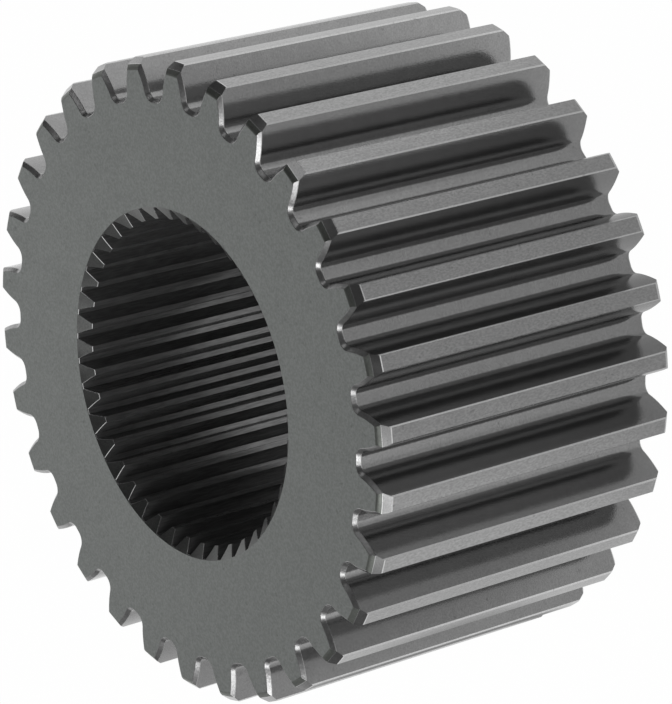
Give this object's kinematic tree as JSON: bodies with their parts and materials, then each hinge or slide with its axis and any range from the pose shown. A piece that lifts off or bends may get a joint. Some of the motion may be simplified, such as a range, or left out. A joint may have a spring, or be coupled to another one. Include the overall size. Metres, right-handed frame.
{
  "type": "differential gear",
  "caption": "One-piece spur sun gear with straight outer teeth, chamfered tooth ends and a splined through bore.",
  "frame": {"origin": "middle of the rear end face, on the gear's axis, where the gear stands", "axes": "+Z along the gear's axis, from the rear end face to the front one, with a tooth gap centred on +Y"},
  "size_m": [0.16, 0.1594, 0.089],
  "materials": {
    "gear_steel": "hardened, peened and phosphated gear steel, dark grey and semi-matt"
  },
  "bodies": {
    "root": {"sun_gear": "gear_steel"}
  },
  "joints": []
}
